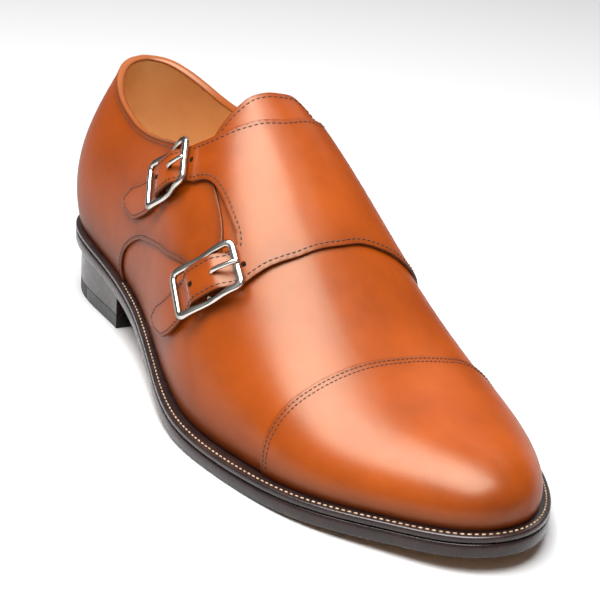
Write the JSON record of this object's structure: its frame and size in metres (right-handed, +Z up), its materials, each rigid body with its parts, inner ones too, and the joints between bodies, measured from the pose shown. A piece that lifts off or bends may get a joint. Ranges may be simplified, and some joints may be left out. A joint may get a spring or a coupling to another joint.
{
  "type": "monk strap shoe",
  "caption": "Right dress shoe with a hollow upper, straight toe cap, flap with two buckled straps, welt, leather sole and low stacked heel.",
  "frame": {"origin": "middle of the shoe's box, on the floor it stands on", "axes": "+X towards the toe, +Y towards the inner (big toe) side, +Z up"},
  "size_m": [0.302, 0.1114, 0.1149],
  "materials": {
    "upper_leather": "polished tan calf, burnished darker at the seams and the welt",
    "lining_leather": "matt natural lining leather",
    "edge_leather": "dark stained and waxed edge leather",
    "sole_leather": "smooth natural sole leather",
    "rubber": "matt black heel rubber",
    "buckle_metal": "polished nickel plate"
  },
  "bodies": {
    "root": {"upper": "upper_leather", "tongue": "upper_leather", "toe_cap": "upper_leather", "quarter_outer": "upper_leather", "quarter_inner_flap": "upper_leather", "insole": "lining_leather", "welt": "edge_leather", "outsole": "sole_leather", "heel_stack": "edge_leather", "heel_top_piece": "sole_leather", "heel_rubber_tip": "rubber", "buckle_frame_upper": "buckle_metal", "buckle_prong_upper": "buckle_metal", "buckle_frame_lower": "buckle_metal", "buckle_prong_lower": "buckle_metal"}
  },
  "joints": []
}
